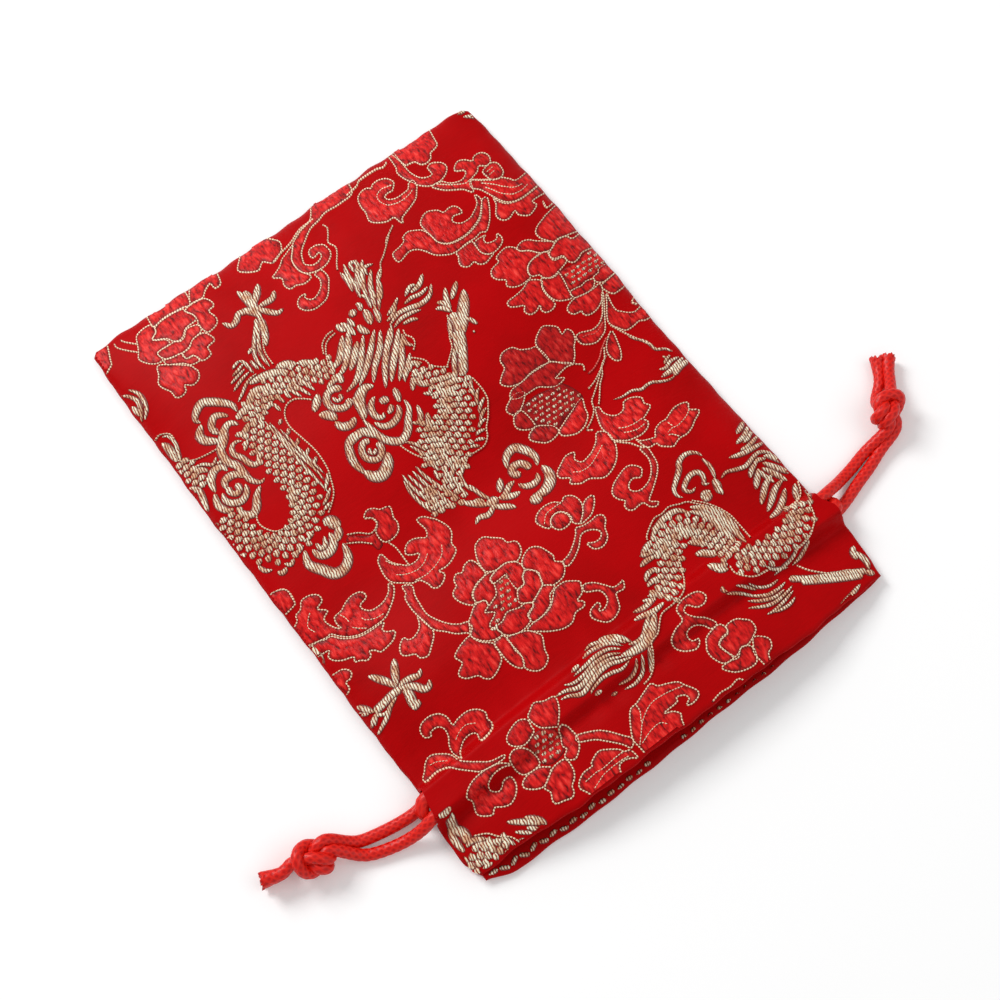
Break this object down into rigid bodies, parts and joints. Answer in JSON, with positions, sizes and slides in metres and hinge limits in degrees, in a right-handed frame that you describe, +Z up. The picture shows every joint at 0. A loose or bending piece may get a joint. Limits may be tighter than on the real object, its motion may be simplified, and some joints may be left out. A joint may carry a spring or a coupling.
{
  "type": "kinchaku drawstring pouch",
  "caption": "Flat satin brocade pouch with a sewn channel below its mouth and drawstrings that leave at both sides, each ending in a knot.",
  "frame": {"origin": "on the table under the middle of the pouch, which lies on its back panel", "axes": "+Z up, out of the front panel; +Y along the pouch towards its mouth; X across it"},
  "size_m": [0.1885, 0.159, 0.012],
  "materials": {
    "brocade": "deep red satin ground with raised coral and cream woven figures",
    "satin_cord": "bright orange-red braided satin cord"
  },
  "bodies": {
    "root": {"back_panel": "brocade", "front_panel": "brocade", "left_drawstring_in_channel": "satin_cord", "right_drawstring_in_channel": "satin_cord", "left_front_strand": "satin_cord", "left_back_strand": "satin_cord", "left_knot": "satin_cord", "left_first_tail": "satin_cord", "left_second_tail": "satin_cord", "right_front_strand": "satin_cord", "right_back_strand": "satin_cord", "right_knot": "satin_cord", "right_first_tail": "satin_cord", "right_second_tail": "satin_cord"}
  },
  "joints": []
}
